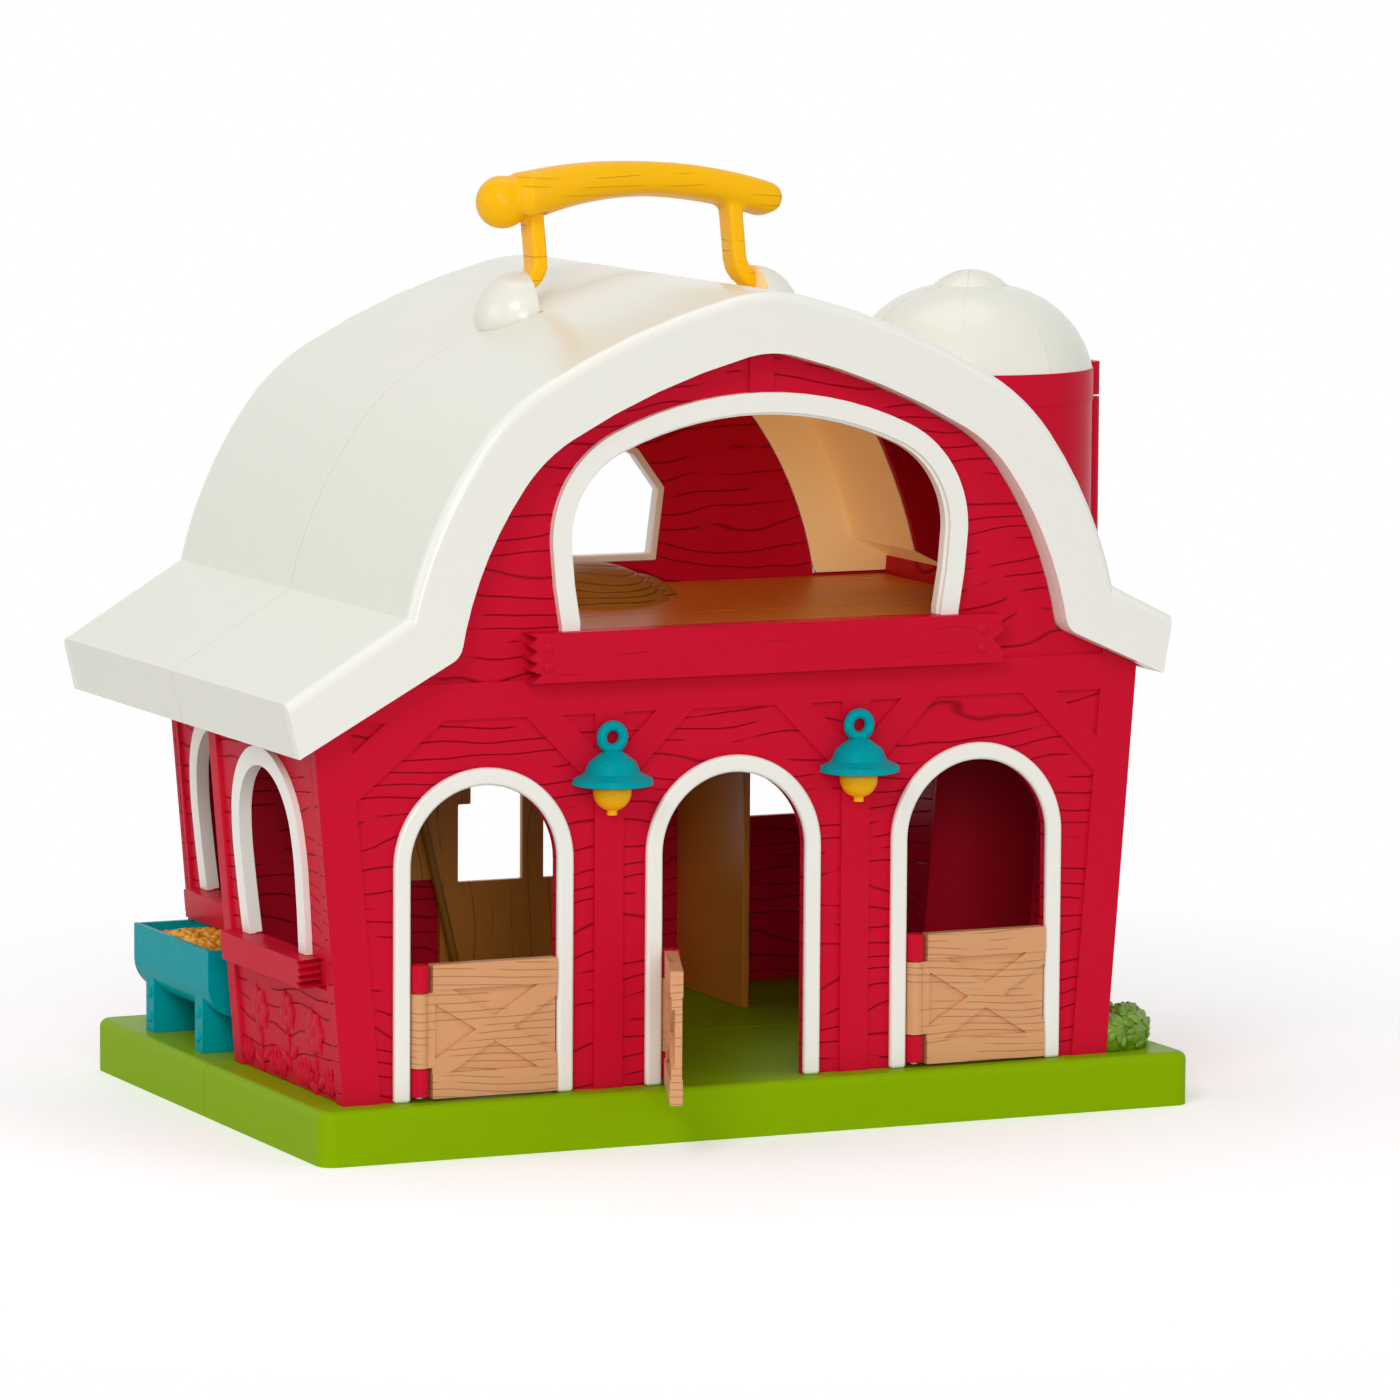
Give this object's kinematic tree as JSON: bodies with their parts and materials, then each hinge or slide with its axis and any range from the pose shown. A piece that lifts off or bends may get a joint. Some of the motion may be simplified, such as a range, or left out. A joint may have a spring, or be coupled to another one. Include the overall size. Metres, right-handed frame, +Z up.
{
  "type": "toy barn with opening doors",
  "caption": "Toy barn in two halves hinged beside its silo, with a curved roof, carrying handle, arched doorways with swinging half doors, a loft, lamps and a feed trough.",
  "frame": {"origin": "on the underside of the base, below the roof's ridge, on the joint line between the front and rear halves", "axes": "+X to the right seen from the front, towards the silo; +Y from the front to the rear; +Z up"},
  "size_m": [0.3704, 0.2667, 0.34],
  "materials": {
    "red_plastic": "satin moulded plastic with engraved plank lines",
    "cream_plastic": "glossy ivory plastic with faint plank lines",
    "trim_plastic": "smooth glossy off-white plastic",
    "green_plastic": "satin green plastic",
    "teal_plastic": "glossy teal plastic",
    "yellow_plastic": "glossy yellow plastic with engraved grain",
    "tan_plastic": "satin tan plastic with engraved wood grain",
    "brown_plastic": "satin brown plastic with engraved planks",
    "hay_plastic": "matt golden brown plastic with straw relief",
    "corn_plastic": "matt golden plastic with grain relief",
    "pin_plastic": "smooth off-white plastic",
    "steel": "plain drawn steel"
  },
  "bodies": {
    "rear_half": {"rear_base": "green_plastic", "rear_wall": "red_plastic", "rear_left_wall": "red_plastic", "rear_right_wall": "red_plastic", "rear_roof": "cream_plastic", "rear_silo": "red_plastic", "rear_dome": "cream_plastic", "rear_loft": "brown_plastic", "hay_pile": "hay_plastic", "rear_left_frame": "trim_plastic", "rear_left_sill": "red_plastic", "rear_loft_frame": "trim_plastic", "stable_screen": "brown_plastic", "stall_divider": "brown_plastic", "leaning_pole": "hay_plastic", "trough": "teal_plastic", "corn": "corn_plastic", "main_hinge_pin": "steel", "rear_screws": "steel"},
    "front_half": {"front_base": "green_plastic", "front_wall": "red_plastic", "front_left_wall": "red_plastic", "front_right_wall": "red_plastic", "front_roof": "cream_plastic", "front_silo": "red_plastic", "front_dome": "cream_plastic", "front_loft": "brown_plastic", "loft_window_frame": "trim_plastic", "loft_ledge": "red_plastic", "door_frame_1": "trim_plastic", "door_frame_2": "trim_plastic", "door_frame_3": "trim_plastic", "left_lamp": "teal_plastic", "right_lamp": "teal_plastic", "left_bulb": "yellow_plastic", "right_bulb": "yellow_plastic", "front_left_frame": "trim_plastic", "front_left_sill": "red_plastic", "bush": "green_plastic", "front_screws": "steel", "door_pin_1": "pin_plastic", "door_pin_2": "pin_plastic", "door_pin_3": "pin_plastic"},
    "left_half_door": {"stable_door_1": "tan_plastic"},
    "middle_half_door": {"stable_door_2": "tan_plastic"},
    "right_half_door": {"stable_door_3": "tan_plastic"},
    "carry_handle": {"handle": "yellow_plastic"}
  },
  "joints": [
    {"name": "barn_open", "type": "hinge", "parent": "rear_half", "child": "front_half", "pos_m": [0.184, 0, 0.14], "axis": [0, 0, 1], "range_deg": [0, 180]},
    {"name": "left_door_swing", "type": "hinge", "parent": "front_half", "child": "left_half_door", "pos_m": [-0.1302, -0.1046, 0.044], "axis": [0, 0, 1], "range_deg": [-112, 0]},
    {"name": "middle_door_swing", "type": "hinge", "parent": "front_half", "child": "middle_half_door", "pos_m": [-0.0342, -0.1046, 0.044], "axis": [0, 0, 1], "range_deg": [0, 112]},
    {"name": "right_door_swing", "type": "hinge", "parent": "front_half", "child": "right_half_door", "pos_m": [0.0618, -0.1046, 0.044], "axis": [0, 0, 1], "range_deg": [-112, 0]},
    {"name": "handle_swing", "type": "hinge", "parent": "rear_half", "child": "carry_handle", "pos_m": [-0.0014, 0, 0.2955], "axis": [1, 0, 0], "range_deg": [-53, 77]}
  ]
}
